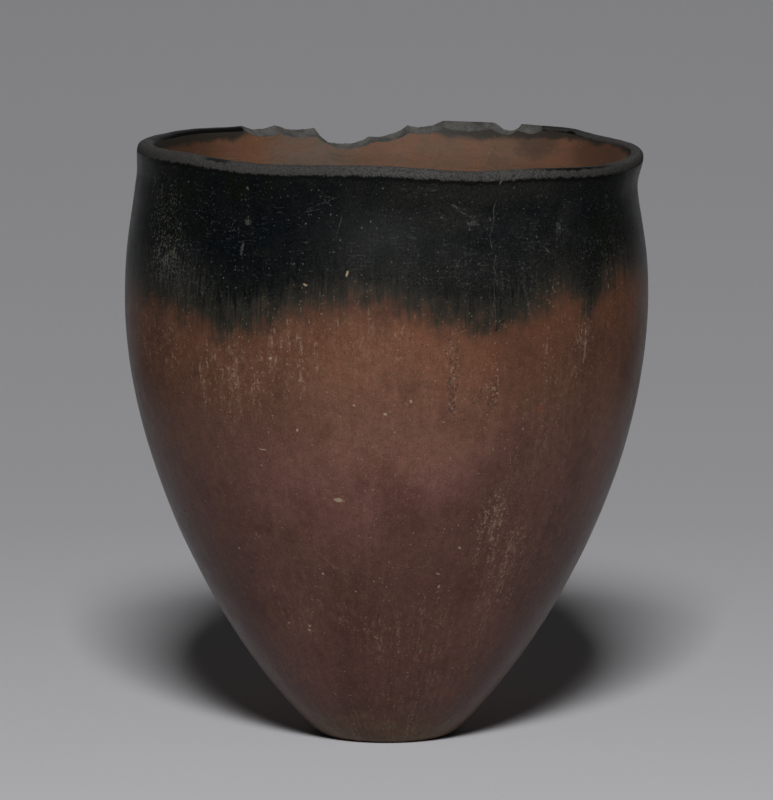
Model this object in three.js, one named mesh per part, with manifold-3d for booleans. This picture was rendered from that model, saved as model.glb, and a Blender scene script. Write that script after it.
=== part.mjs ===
// A hand-built clay beaker with a black top: a deep egg-shaped body on a small flat foot, a thin
// uneven rim broken in places at the back, and a plaster fill set into a notch at the front of the rim.
// Millimetres, +Z up. The origin is the centre of the flat foot. The front of the beaker faces -Y,
// and an azimuth is measured from the front towards +X.

import * as THREE from "three";
import { mergeVertices } from "three/addons/utils/BufferGeometryUtils.js";
import Module from "manifold-3d";

const wasm = await Module();
wasm.setup();

// Foot
const FOOT_RADIUS = 18.6; // flat disc that the beaker stands on
const FOOT_EDGE_WIDTH = 5; // rounded edge, from the flat out to the wall
const FOOT_EDGE_RISE = 3;

// Outside of the wall, from the foot up to the belly, in to the neck and out again at the lip
const WALL_START_ANGLE = 43.8; // degrees above level at which the wall leaves the foot
const WALL_START_PULL = 33; // how far the wall keeps that first direction
const BELLY_RADIUS = 79.7;
const BELLY_HEIGHT = 135;
const BELLY_PULL_DOWN = 54; // how far below the belly the wall stays upright
const BELLY_PULL_UP = 18;
const NECK_INSET = 3.5; // the neck is this much narrower than the belly
const SHOULDER_RISE = 35; // belly to neck
const NECK_PULL = 8;
const LIP_FLARE = 0.6; // the lip turns out past the neck
const NECK_TO_LIP = 7;
const LIP_BEVEL_RISE = 3; // worn outer edge of the lip, up to the crest
const LIP_INNER_DROP = 1.6; // crest down to the inner edge

// Thickness of the clay
const FLOOR_THICKNESS = 9;
const LOWER_WALL = 7; // just above the foot
const RIM_WALL = 4.6;
const HOLLOW_SHIFT = 0.5; // the hollow sits off centre, so the wall is thinner on the right

// Unevenness left by the potter's hand
const MOUTH_SHIFT = 1.3; // the mouth leans to the right
const MOUTH_SHIFT_RISE = 13; // height over which it does so
const UNEVEN_POWER = 3; // the rim's rises fade downwards as the height above the floor to this power

// How far the crest of the rim rises above its level, or sinks below it, at each azimuth in turn
const RIM_RISES = [
  { azimuth: 22, rise: -1.05 },
  { azimuth: 30, rise: -0.93 },
  { azimuth: 58, rise: -2.15 },
  { azimuth: 106, rise: -0.85 },
  { azimuth: 120, rise: -0.55 },
  { azimuth: 133, rise: 0.7 },
  { azimuth: 165, rise: 0.87 },
  { azimuth: 222, rise: 0.55 },
  { azimuth: 236, rise: 1.12 },
  { azimuth: 250, rise: 1.1 },
  { azimuth: 285, rise: 1.6 },
  { azimuth: 304, rise: 1.8 },
  { azimuth: 330, rise: 0.6 },
  { azimuth: 354, rise: 1.08 },
];

// Breaks through the back of the rim: each is deeper on the inside of the wall than on the outside
const RIM_CHIPS = [
  { azimuth: 212.5, width: 17.5, outerDepth: 1.3, innerDepth: 3.7 },
  { azimuth: 201.5, width: 25, outerDepth: 2.3, innerDepth: 4.6 },
  { azimuth: 190.5, width: 24, outerDepth: 7.2, innerDepth: 8.6 },
  { azimuth: 183.5, width: 24, outerDepth: 5.3, innerDepth: 6.8 },
  { azimuth: 173, width: 17, outerDepth: 2.2, innerDepth: 4.2 },
  { azimuth: 151, width: 11, outerDepth: 2.3, innerDepth: 3.5 },
];

// Flakes lost from the inner edge of the rim, which leave its crest whole
const RIM_FLAKES = [
  { azimuth: 161, width: 22, reach: 3, depth: 2.9 },
  { azimuth: 144, width: 11, reach: 2.9, depth: 2.7 },
];

// Notch in the rim and the fill that is set into it
const NOTCH_AZIMUTH = 26.1;
const NOTCH_WIDTH = 3.5; // along the crest of the rim
const NOTCH_DEPTH = 4.6; // below the crest
const FILL_CLEARANCE = 0.3; // joint between the fill and the clay

// Fineness of the solids
const SIDES = 72;
const WALL_STEPS = 13;
const SHOULDER_STEPS = 6;
const FLARE_STEPS = 2;
const EDGE_STEPS = 3;
const FLOOR_STEPS = 5;
const FLOOR_FROM_STEP = 2; // the rounded floor takes over from the wall at this step
const CHIP_DETAIL = 3;
const WELD_DISTANCE = 1e-4; // points closer than this are one

// Heights and radii that follow from the sizes above
const FOOT_TURN_RADIUS = FOOT_RADIUS + FOOT_EDGE_WIDTH;
const NECK_RADIUS = BELLY_RADIUS - NECK_INSET;
const NECK_HEIGHT = BELLY_HEIGHT + SHOULDER_RISE;
const LIP_RADIUS = NECK_RADIUS + LIP_FLARE;
const LIP_HEIGHT = NECK_HEIGHT + NECK_TO_LIP;
const CREST_HEIGHT = LIP_HEIGHT + LIP_BEVEL_RISE;
const CREST_RADIUS = LIP_RADIUS - RIM_WALL / 2;
const MOUTH_RADIUS = LIP_RADIUS - RIM_WALL;

const CLAY = new THREE.MeshStandardMaterial({ color: "#4a3531", roughness: 0.55, metalness: 0 });
const PLASTER = new THREE.MeshStandardMaterial({ color: "#5a5348", roughness: 0.9, metalness: 0 });

const point = (radius, height) => new THREE.Vector2(radius, height);

const smoothStep = (value) => THREE.MathUtils.smoothstep(value, 0, 1);

// The outside of the wall as four curves, each starting where the last one ends.
function outerCurves() {
  const angle = THREE.MathUtils.degToRad(WALL_START_ANGLE);
  const footTurn = point(FOOT_TURN_RADIUS, FOOT_EDGE_RISE);
  const leaving = point(Math.cos(angle), Math.sin(angle));
  const belly = point(BELLY_RADIUS, BELLY_HEIGHT);
  const neck = point(NECK_RADIUS, NECK_HEIGHT);
  const lip = point(LIP_RADIUS, LIP_HEIGHT);
  const footPull = FOOT_EDGE_RISE / 2 / Math.sin(angle);
  const footEdge = new THREE.CubicBezierCurve(
    point(FOOT_RADIUS, 0),
    point(FOOT_RADIUS + FOOT_EDGE_WIDTH / 3, 0),
    footTurn.clone().addScaledVector(leaving, -footPull),
    footTurn,
  );
  const wall = new THREE.CubicBezierCurve(
    footTurn,
    footTurn.clone().addScaledVector(leaving, WALL_START_PULL),
    point(BELLY_RADIUS, BELLY_HEIGHT - BELLY_PULL_DOWN),
    belly,
  );
  const shoulder = new THREE.CubicBezierCurve(
    belly,
    point(BELLY_RADIUS, BELLY_HEIGHT + BELLY_PULL_UP),
    point(NECK_RADIUS, NECK_HEIGHT - NECK_PULL),
    neck,
  );
  const flare = new THREE.CubicBezierCurve(
    neck,
    point(NECK_RADIUS, NECK_HEIGHT + NECK_TO_LIP / 3),
    point(LIP_RADIUS, LIP_HEIGHT - NECK_TO_LIP / 3),
    lip,
  );
  return { footEdge, wall, shoulder, flare };
}

// The worn lip: a rounded bevel up to the crest and a tighter turn down to the mouth.
function lipCurves() {
  const crest = point(CREST_RADIUS, CREST_HEIGHT);
  const bevel = new THREE.QuadraticBezierCurve(
    point(LIP_RADIUS, LIP_HEIGHT),
    point(LIP_RADIUS, CREST_HEIGHT),
    crest,
  );
  const innerTurn = new THREE.QuadraticBezierCurve(
    crest,
    point(MOUTH_RADIUS, CREST_HEIGHT),
    point(MOUTH_RADIUS, CREST_HEIGHT - LIP_INNER_DROP),
  );
  return { bevel, innerTurn };
}

// Thickness of the wall at a height on its outside: thick above the foot, thin at the rim.
function wallThickness(height) {
  const rise = smoothStep((height - FOOT_EDGE_RISE) / (NECK_HEIGHT - FOOT_EDGE_RISE));
  return THREE.MathUtils.lerp(LOWER_WALL, RIM_WALL, rise);
}

// A point of the inner face, square to the outer curve at the given share of its length.
function innerPoint(curve, share) {
  const outside = curve.getPointAt(share);
  const along = curve.getTangentAt(share);
  const inward = point(-along.y, along.x);
  return outside.addScaledVector(inward, wallThickness(outside.y));
}

// Inner face from the neck down to where the rounded floor begins.
function innerFace({ wall, shoulder }) {
  const points = [];
  for (let step = SHOULDER_STEPS; step > 0; step -= 1) {
    points.push(innerPoint(shoulder, step / SHOULDER_STEPS));
  }
  for (let step = WALL_STEPS; step >= FLOOR_FROM_STEP; step -= 1) {
    points.push(innerPoint(wall, step / WALL_STEPS));
  }
  return points;
}

// The floor of the hollow, a shallow bowl from the end of the inner face in to the axis.
function floorPoints(innerPoints) {
  const end = innerPoints.at(-1);
  const along = end.clone().sub(innerPoints.at(-2)).normalize();
  const depth = end.y - FLOOR_THICKNESS;
  const bowl = new THREE.CubicBezierCurve(
    end,
    end.clone().addScaledVector(along, depth / 2),
    point(end.x / 2, FLOOR_THICKNESS),
    point(0, FLOOR_THICKNESS),
  );
  return bowl.getPoints(FLOOR_STEPS).slice(1);
}

// Section of the beaker in two runs: from the axis under the foot up to the crest, and back down inside.
function wallSection() {
  const outer = outerCurves();
  const lip = lipCurves();
  const inner = innerFace(outer);
  const outside = [
    point(0, 0),
    ...outer.footEdge.getPoints(EDGE_STEPS),
    ...outer.wall.getSpacedPoints(WALL_STEPS).slice(1),
    ...outer.shoulder.getSpacedPoints(SHOULDER_STEPS).slice(1),
    ...outer.flare.getPoints(FLARE_STEPS).slice(1),
    ...lip.bevel.getPoints(EDGE_STEPS).slice(1),
  ];
  const inside = [
    ...lip.innerTurn.getPoints(EDGE_STEPS).slice(1),
    ...inner,
    ...floorPoints(inner),
  ];
  return { outside, inside };
}

// Degrees from one azimuth round to the next one that is the same or greater.
const turnBetween = (from, to) => THREE.MathUtils.euclideanModulo(to - from, 360);

// Height that the potter's hand adds at the rim, at an azimuth in degrees.
function rimLift(azimuth) {
  const degrees = turnBetween(0, azimuth);
  const next = Math.max(RIM_RISES.findIndex((mark) => mark.azimuth > degrees), 0);
  const before = RIM_RISES.at(next - 1);
  const after = RIM_RISES[next];
  const share = turnBetween(before.azimuth, degrees) / turnBetween(before.azimuth, after.azimuth);
  return THREE.MathUtils.lerp(before.rise, after.rise, smoothStep(share));
}

// How far towards +X the mouth leans at a height.
function mouthLean(height) {
  return MOUTH_SHIFT * smoothStep((height - CREST_HEIGHT) / MOUTH_SHIFT_RISE + 1);
}

// How far towards +X the hollow lies off centre at a height.
function hollowLean(height) {
  return HOLLOW_SHIFT * smoothStep(height / CREST_HEIGHT);
}

// Raises and sinks the rim, leans the mouth and shifts the hollow, and leaves the foot flat.
// A lathe's points run along the section, side by side, so the last ones of each run are inside.
function unsettle(geometry, sectionCount, insideCount) {
  const position = geometry.attributes.position;
  for (let i = 0; i < position.count; i += 1) {
    const x = position.getX(i);
    const y = position.getY(i);
    const z = position.getZ(i);
    const isInside = i % sectionCount >= sectionCount - insideCount;
    const lean = mouthLean(z) + (isInside ? hollowLean(z) : 0);
    const azimuth = THREE.MathUtils.radToDeg(Math.atan2(x, -y));
    const share = Math.max((z - FLOOR_THICKNESS) / (CREST_HEIGHT - FLOOR_THICKNESS), 0);
    position.setX(i, x + lean);
    position.setZ(i, z + rimLift(azimuth) * share ** UNEVEN_POWER);
  }
}

// A closed solid from a three.js geometry, with the flat triangles at its poles left out.
function toSolid(geometry) {
  const bare = geometry.clone();
  bare.deleteAttribute("normal");
  bare.deleteAttribute("uv");
  const merged = mergeVertices(bare, WELD_DISTANCE);
  const corners = merged.index.array;
  const triangles = [];
  for (let i = 0; i < corners.length; i += 3) {
    const [a, b, c] = corners.subarray(i, i + 3);
    if (a !== b && b !== c && c !== a) {
      triangles.push(a, b, c);
    }
  }
  return new wasm.Manifold(new wasm.Mesh({
    numProp: 3,
    vertProperties: new Float32Array(merged.attributes.position.array),
    triVerts: new Uint32Array(triangles),
  }));
}

function toMesh(solid, name, material) {
  const { vertProperties, triVerts } = solid.getMesh();
  const geometry = new THREE.BufferGeometry();
  geometry.setAttribute("position", new THREE.BufferAttribute(vertProperties, 3));
  geometry.setIndex(new THREE.BufferAttribute(triVerts, 1));
  geometry.computeVertexNormals();
  const mesh = new THREE.Mesh(geometry, material);
  mesh.name = name;
  return mesh;
}

// The beaker before its rim is broken or notched.
function wholeWall() {
  const { outside, inside } = wallSection();
  const section = [...outside, ...inside];
  const lathe = new THREE.LatheGeometry(section, SIDES);
  lathe.rotateX(Math.PI / 2);
  unsettle(lathe, section.length, inside.length);
  return toSolid(lathe);
}

// Turns a cutter made at the front, where +X runs along the rim, to its azimuth.
function placeOnRim(geometry, azimuthDegrees) {
  geometry.rotateZ(THREE.MathUtils.degToRad(azimuthDegrees));
  geometry.translate(MOUTH_SHIFT, 0, 0);
  return geometry;
}

// An egg-shaped bite whose middle lies on the edge of the mouth, so it breaks the inside deepest.
function biteCutter({ azimuth, width, reach, depth }) {
  const crest = CREST_HEIGHT + rimLift(azimuth);
  const bite = new THREE.IcosahedronGeometry(1, CHIP_DETAIL);
  bite.scale(width / 2, reach, depth);
  bite.translate(0, -MOUTH_RADIUS, crest);
  return toSolid(placeOnRim(bite, azimuth));
}

// A chip's bite reaches past the wall, as far as its depth on the outside asks for.
function chipCutter({ azimuth, width, outerDepth, innerDepth }) {
  const reach = RIM_WALL / Math.sqrt(1 - (outerDepth / innerDepth) ** 2);
  return biteCutter({ azimuth, width, reach, depth: innerDepth });
}

// Outline of the notch seen from the front: upright on the left, slanting in to the tip on the right.
function notchOutline(clearance, overshoot) {
  const slope = NOTCH_WIDTH / NOTCH_DEPTH;
  const left = -NOTCH_WIDTH / 2 + clearance;
  const rightAtCrest = NOTCH_WIDTH / 2 - clearance * Math.hypot(1, slope);
  const tip = (left - rightAtCrest) / slope;
  return new THREE.Shape([
    point(left, tip),
    point(rightAtCrest + slope * overshoot, overshoot),
    point(left, overshoot),
  ]);
}

// The notch as a block through the wall. The fill uses it again, smaller by its clearance.
function notchBlock(clearance) {
  const overshoot = LIP_BEVEL_RISE;
  const margin = RIM_WALL;
  const length = RIM_WALL + 2 * margin;
  const crest = CREST_HEIGHT + rimLift(NOTCH_AZIMUTH);
  const block = new THREE.ExtrudeGeometry(notchOutline(clearance, overshoot), {
    depth: length,
    bevelEnabled: false,
  });
  block.rotateX(Math.PI / 2);
  block.translate(0, -MOUTH_RADIUS + margin, crest);
  return toSolid(placeOnRim(block, NOTCH_AZIMUTH));
}

function makeBeaker() {
  const whole = wholeWall();
  const bites = [...RIM_CHIPS.map(chipCutter), ...RIM_FLAKES.map(biteCutter)];
  const broken = bites.reduce((wall, bite) => wall.subtract(bite), whole);
  const body = broken.subtract(notchBlock(0));
  const fill = whole.intersect(notchBlock(FILL_CLEARANCE));
  const beaker = new THREE.Group();
  beaker.add(toMesh(body, "vessel_body", CLAY));
  beaker.add(toMesh(fill, "rim_fill", PLASTER));
  return beaker;
}

export default makeBeaker();
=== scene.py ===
import math

import bpy
import numpy as np
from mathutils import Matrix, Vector, noise


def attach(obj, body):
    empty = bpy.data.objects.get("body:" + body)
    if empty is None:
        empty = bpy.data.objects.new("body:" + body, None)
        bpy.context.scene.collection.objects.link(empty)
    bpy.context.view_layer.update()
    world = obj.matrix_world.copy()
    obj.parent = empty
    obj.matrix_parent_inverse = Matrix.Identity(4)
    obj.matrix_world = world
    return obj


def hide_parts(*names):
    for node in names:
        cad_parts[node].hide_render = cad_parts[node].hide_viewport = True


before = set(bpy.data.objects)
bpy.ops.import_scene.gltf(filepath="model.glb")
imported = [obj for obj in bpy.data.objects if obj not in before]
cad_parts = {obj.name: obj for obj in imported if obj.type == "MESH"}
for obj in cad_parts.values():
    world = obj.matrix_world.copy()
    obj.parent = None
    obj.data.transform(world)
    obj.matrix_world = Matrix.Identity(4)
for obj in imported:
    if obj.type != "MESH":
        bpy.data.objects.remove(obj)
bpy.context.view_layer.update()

# A burnished clay beaker with a black top, on a pale studio sweep.
# Sizes are in millimetres until a mesh is made.
# An azimuth is in degrees from the front (-Y) towards +X.

MM = 0.001

# Foot
FOOT_RADIUS = 18.6
FOOT_EDGE_WIDTH = 5
FOOT_EDGE_RISE = 3

# Outside of the wall
WALL_START_ANGLE = 43.8
WALL_START_PULL = 33
BELLY_RADIUS = 79.7
BELLY_HEIGHT = 135
BELLY_PULL_DOWN = 54
BELLY_PULL_UP = 18
NECK_RADIUS = 76.2
NECK_HEIGHT = 170
NECK_PULL = 8
LIP_RADIUS = 76.8
LIP_HEIGHT = 177
CREST_HEIGHT = 180
LIP_INNER_DROP = 1.6

# Thickness of the clay
FLOOR_THICKNESS = 9
LOWER_WALL = 7
RIM_WALL = 4.6
CREST_RADIUS = LIP_RADIUS - RIM_WALL / 2
MOUTH_RADIUS = LIP_RADIUS - RIM_WALL
FLOOR_STARTS_AT = 2 / 13  # share of the wall's length at which the rounded floor takes over

# Unevenness left by the potter's hand
HOLLOW_SHIFT = 0.5
MOUTH_SHIFT = 1.3
MOUTH_SHIFT_RISE = 13
UNEVEN_POWER = 3

# How far the crest of the rim rises above its level or sinks below it: azimuth and rise
RIM_RISES = [
    (22, -1.05), (30, -0.93), (58, -2.15), (106, -0.85), (120, -0.55), (133, 0.7), (165, 0.87),
    (222, 0.55), (236, 1.12), (250, 1.1), (285, 1.6), (304, 1.8), (330, 0.6), (354, 1.08),
]

# Breaks through the back of the rim: azimuth, width, depth on the outside and on the inside
RIM_CHIPS = [
    (212.5, 17.5, 1.3, 3.7),
    (201.5, 25, 2.3, 4.6),
    (190.5, 24, 7.2, 8.6),
    (183.5, 24, 5.3, 6.8),
    (173, 17, 2.2, 4.2),
    (151, 11, 2.3, 3.5),
]

# Flakes lost from the inner edge of the rim: azimuth, width, reach into the wall and depth
RIM_FLAKES = [
    (161, 22, 3, 2.9),
    (144, 11, 2.9, 2.7),
]
BREAK_ROUGHNESS = 0.4  # how far the broken face wanders up and down
BREAK_RAGGED = 0.4  # how far the outline of a break wanders sideways
BREAK_GRAIN = 2.6
BREAK_FINE_GRAIN = BREAK_GRAIN / 2.7
BREAK_FINE_LEVEL = 40  # where the fine noise is read, away from the coarse one
NO_CUT = CREST_HEIGHT * 2.0  # a height far above the rim, where nothing is cut

# Notch in the rim and its fill
NOTCH_AZIMUTH = 26.1
NOTCH_WIDTH = 3.5
NOTCH_DEPTH = 4.6
NOTCH_SLACK = 1e-6  # degrees, for the columns right on its edges
FILL_JOINT = 0.08
FILL_EDGE = 0.15  # thickness at the fill's thin right end
FILL_SINK = 0.12  # how far its rough face lies back from the rim's
FILL_ROUGH_SIZE = 1.1
FILL_EASE = 2  # length over which its lean and its sunk top begin
FILL_SUNK_FROM = 177  # height from which its top is sunk as well

# Fineness of the meshes
COLUMN_STEP = 0.8  # degrees
BREAK_COLUMN_STEP = 0.5
BREAK_SPAN = (138, 222)
NOTCH_COLUMN_STEP = 0.16
NOTCH_SPAN = (24.4, 28)
HAIR = 0.01  # degrees between the two sides of the notch's edge
FILL_COLUMNS = 15
FILL_ROWS = 34
FILL_BASE_ROWS = 8
UNDERSIDE_ROWS = 5
FOOT_EDGE_ROWS = 8
WALL_ROWS = 62
LIP_OUTSIDE_ROWS = 30
LIP_TOP_ROWS = 12
LIP_INSIDE_ROWS = 16
INSIDE_ROWS = 38
FLOOR_ROWS = 11
RIM_BAND_FROM = 166  # height at which the rim's own rows begin
FINE = 600  # points on each curve before it is spaced out
RIM_FINE = 160  # points on each part of the rim's section before it is cut
VESSEL_SHARP = 48  # degrees of turn at which an edge is left sharp
FILL_SHARP = 40
SWEEP_BEND_ROWS = 40

# Relief of the surface
BROAD_SWELL = 0.4
BROAD_SWELL_SIZE = 38
COIL_RIPPLE = 0.14
COIL_RIPPLE_SIZE = 9
COIL_RIPPLE_ROUND = 0.15  # share of the radius that its noise sees, which draws it out round
STROKE_FACET = 0.05
STROKE_FACET_SIZE = 3.6
STROKE_FACET_FLATTEN = 0.08  # share of the height that its noise sees, which draws it out up
INSIDE_SWELL = 0.35
WIPE_RIDGE = 0.1
WIPE_RIDGE_SIZE = 3.2
WIPE_RIDGE_ROUND = 0.12
LIP_WEAR = 0.22
LIP_WEAR_SIZE = 5
LIP_WEAR_BEGINS = 4  # below the crest
LIP_WEAR_GROWS = 3.5  # height over which it grows to the full
RELIEF_FADE_LOW = 14  # height over which the relief grows from the flat foot
RELIEF_FADE_HIGH = 12  # height over which it fades towards the crest
RELIEF_ENDS_ABOVE = 2  # above the crest
NOISE_OFFSET = Vector((13.7, 4.1, 29.3))  # where in the noise the unevenness is read

# Where the black of the top ends: azimuth and height of the edge, all the way round
FIRING_EDGE = [
    (-75.5, 138.9), (-57.7, 136.9), (-43.8, 133.4), (-35.4, 130.8), (-27.8, 135.1),
    (-18.6, 138.8), (-9.8, 141.6), (-1.4, 142.8), (2.8, 140.6), (11.3, 136.8),
    (17.9, 135.4), (24.7, 133.3), (32, 136.8), (40.1, 143.6), (44.5, 142.5),
    (47.5, 136), (50.9, 136), (54.7, 141.9), (61.4, 145.6), (78.7, 144.4),
    (95, 141), (112, 136), (128, 139.5), (145, 133), (160, 137), (176, 143),
    (190, 139), (205, 132), (222, 137), (240, 141.5), (258, 139),
]
FIRING_EDGE_EASE = 1.6  # degrees over which its turns are rounded
NEAR_BLACK = (-34, -6)  # height above that edge over which the red turns orange

# The fine crack that runs down from the notch: azimuth and height
CRACK = [
    (25.0, 181), (24.7, 176.4), (25.2, 171.3), (24.4, 167.4), (24.3, 163.8), (23.3, 159.5),
    (23.4, 155.9), (24.5, 154.1), (23.7, 152.4), (23.8, 149.1), (24.2, 147.9), (23.4, 146.2),
    (23.6, 142.9), (23.8, 137.3), (23.8, 131.3),
]
CRACK_FAR = 60  # its distance is not followed further than this
CRACK_HALF_WIDTH = (0.17, 0.04)  # from its soft outline to its full darkness
CRACK_BOTTOM = (130, 138)  # heights over which it fades in
CRACK_TOP = (175.6, 174.8)
CRACK_TURNS_BROWN = (171, 169)

PATCH_REACH = 1.5  # half widths from its middle at which a patch has faded out

# Soft-edged fields: azimuth, height, half width, half height and strength
PATCHES = {
    "speckled": [
        (-38.3, 114, 3, 13, 1), (-36.4, 117, 15, 12, 0.65), (-20.4, 123, 11, 11, 0.75),
        (-4, 129, 13, 9, 0.6), (48, 127.5, 5, 6, 0.9), (28, 71, 5, 15, 0.9), (37, 65.4, 6, 9, 0.78),
        (35, 46, 7, 17, 0.8), (44, 104, 22, 22, 0.35), (50, 60, 14, 30, 0.4), (-14, 44, 5, 5, 0.6),
        (0, 4, 40, 9, 0.6), (20, 15, 20, 12, 0.55), (-48.6, 22, 10, 8, 0.6), (-58, 124, 14, 10, 0.6),
        (8, 36, 14, 12, 0.6), (-30, 50, 12, 16, 0.4),
        (82, 118, 16, 20, 0.5), (104, 64, 8, 26, 0.8), (128, 120, 12, 14, 0.6), (150, 84, 6, 20, 0.9),
        (171, 48, 18, 14, 0.5), (196, 122, 16, 12, 0.7), (214, 74, 5, 24, 0.9), (238, 112, 12, 16, 0.5),
        (262, 58, 8, 24, 0.7), (283, 96, 12, 16, 0.5), (120, 8, 60, 10, 0.5), (240, 8, 60, 10, 0.5),
    ],
    "pitted": [
        (14.4, 119, 2, 14, 1), (22.4, 113, 5.5, 4.4, 1), (7.2, 117.4, 2, 2, 0.8), (6, 128, 12, 6, 0.5),
        (33, 84, 5, 14, 0.7), (30, 68, 8, 16, 0.6), (-30, 82, 7, 8, 0.5), (-36, 112, 16, 12, 0.45),
        (55, 120.6, 2, 2, 0.8), (-58, 160, 13, 16, 0.7), (40, 62, 9, 16, 0.5), (58, 158, 12, 14, 0.5),
        (98, 124, 3, 18, 0.8), (137, 100, 6, 8, 0.7), (166, 150, 14, 12, 0.6), (201, 104, 3, 20, 0.8),
        (229, 150, 16, 14, 0.6), (257, 120, 6, 8, 0.8), (290, 70, 8, 12, 0.6),
    ],
    "browned": [
        (22, 173.5, 30, 4.5, 0.9), (14, 167, 9, 5, 0.6), (42, 146, 14, 6, 0.7), (-58, 141, 16, 6, 0.5),
        (2, 146, 16, 5, 0.35), (92, 172, 22, 5, 0.7), (140, 150, 20, 8, 0.5), (182, 164, 24, 8, 0.5),
        (224, 171, 24, 5, 0.7), (262, 149, 18, 8, 0.5),
    ],
    "greened": [
        (-35, 174.5, 12, 6, 0.9), (-52, 164, 12, 14, 0.5), (58, 153, 14, 12, 0.8),
        (-40, 138, 16, 8, 0.6), (100, 158, 18, 12, 0.6), (158, 170, 16, 8, 0.6),
        (205, 150, 18, 10, 0.6), (250, 166, 18, 10, 0.7),
    ],
    "blued": [
        (-32, 160, 26, 20, 1), (30, 160, 10, 12, 0.5), (118, 160, 30, 14, 0.8), (190, 158, 30, 14, 0.8),
        (280, 160, 20, 14, 0.6),
    ],
    # Partly painted sheen: the grey at the front's middle stands in for the lamp's broad soft highlight
    # on the black; the rest is grey smoke
    "greyed_and_sheen": [
        (4, 152, 26, 17, 0.5), (25, 155, 18, 15, 1), (40, 162, 14, 12, 0.8), (-52, 146, 14, 10, 1),
        (130, 150, 26, 14, 0.8), (176, 146, 20, 12, 0.7), (216, 154, 24, 14, 0.8),
        (268, 150, 20, 12, 0.6),
    ],
    "flecked": [
        (-60, 162, 16, 17, 1), (-38, 166, 12, 10, 0.7), (58, 158, 14, 14, 0.5),
        (118, 158, 14, 14, 0.8), (236, 160, 18, 12, 0.7),
    ],
    "unworn": [
        (47, 178, 15, 10, 1), (-43, 178, 5, 10, 0.8), (150, 178, 30, 10, 0.6), (250, 178, 20, 10, 0.6),
    ],
    "ashen": [
        (-54, 142, 20, 12, 1), (-34, 135, 8, 6, 0.8), (28, 140, 8, 8, 0.4), (134, 144, 20, 10, 0.8),
        (214, 140, 18, 10, 0.8),
    ],
    # Painted light: lighter slip in the front's middle, a painted highlight where the lamp's light is
    # strongest, and lighter lower sides, so the lamp's falloff reads softer; the two at the back
    # lighten the slip there
    "painted_light_mellowed": [
        (3, 108, 30, 26, 1), (-14, 84, 24, 20, 0.5), (-34, 34, 12, 26, 0.5), (34, 34, 12, 26, 0.5),
        (66, 100, 16, 34, 0.6), (150, 100, 30, 30, 0.6), (250, 112, 26, 24, 0.7),
    ],
    "paled": [
        (200, 168, 16, 22, 0.9), (163, 168, 30, 22, 0.45), (30, 120, 40, 30, 0.6),
        (-70, 90, 30, 30, 0.6),
    ],
    "dulled": [
        (118, 178, 50, 14, 1), (16, 178, 6, 14, 0.5), (-66, 178, 40, 14, 1), (-28, 178, 28, 14, 1),
        (54, 178, 20, 14, 1), (200, 178, 60, 14, 0.6),
    ],
    # Painted shade: the inside darker and more orange towards both ends of its back wall, where the
    # wall turns from the lamp and light bounces between the walls; the last one darkens the front's
    # inside low down
    "toasted_and_painted_shade": [
        (113, 166, 17, 18, 1), (119, 174, 13, 6, 1), (240, 166, 17, 18, 0.8), (10, 60, 30, 30, 0.6),
    ],
    "smoked": [
        (141, 175.5, 10, 5, 0.6), (188, 170, 9, 3, 0.3),
    ],
    "sooted": [
        (244, 178, 30, 16, 0.55), (278, 178, 34, 16, 0.4), (152, 178, 24, 16, 0.85),
        (60, 178, 50, 16, 0.3),
    ],
    "rubbed": [
        (112, 178, 30, 14, 1), (138, 178, 14, 14, 0.9),
    ],
}
INSIDE_ONLY = ("paled", "toasted_and_painted_shade", "smoked", "sooted")

# Single marks on the outside: azimuth, height, width, length and lean to the right
CREAM_GRAINS = [
    (-24.6, 177.3, 2.2, 0.6, 0), (28.3, 176.6, 0.8, 0.7, 0), (11.1, 178.2, 0.8, 0.6, 0),
    (-25.6, 123.5, 1.3, 1.2, 0), (-7.1, 110.3, 0.9, 0.9, 0), (-0.3, 107.8, 1.3, 0.8, 25),
    (-20.2, 102.4, 0.9, 1.2, 20), (5.3, 111.7, 1.1, 1.2, -20), (-29.5, 95.8, 2.6, 0.6, 8),
    (-11.7, 81.3, 3, 1.5, 4), (-18.1, 57.6, 1, 1, 0), (-27.2, 38.7, 1.3, 1.1, 0),
    (-26.6, 40.1, 1.1, 0.9, 0), (-34.3, 40.5, 0.9, 0.8, 0), (-44, 63.5, 0.9, 0.8, 0),
    (19.8, 65.9, 1, 0.8, 30), (14.6, 57.8, 1.6, 0.6, 15), (15.4, 53.6, 0.9, 1.1, 0),
    (-8.4, 148.9, 0.8, 2.2, 15), (-17.5, 145.5, 1.8, 0.6, 20), (96, 88, 1.4, 1.1, 0),
    (121, 131, 1.1, 0.8, 0), (143, 60, 2.2, 1.1, 15), (168, 112, 1.2, 1, 0), (187, 72, 1.6, 1, -20),
    (208, 128, 1, 1.2, 0), (233, 92, 2.4, 0.9, 10), (251, 140, 1.1, 1, 0), (276, 78, 1.2, 1.4, 0),
]
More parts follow.
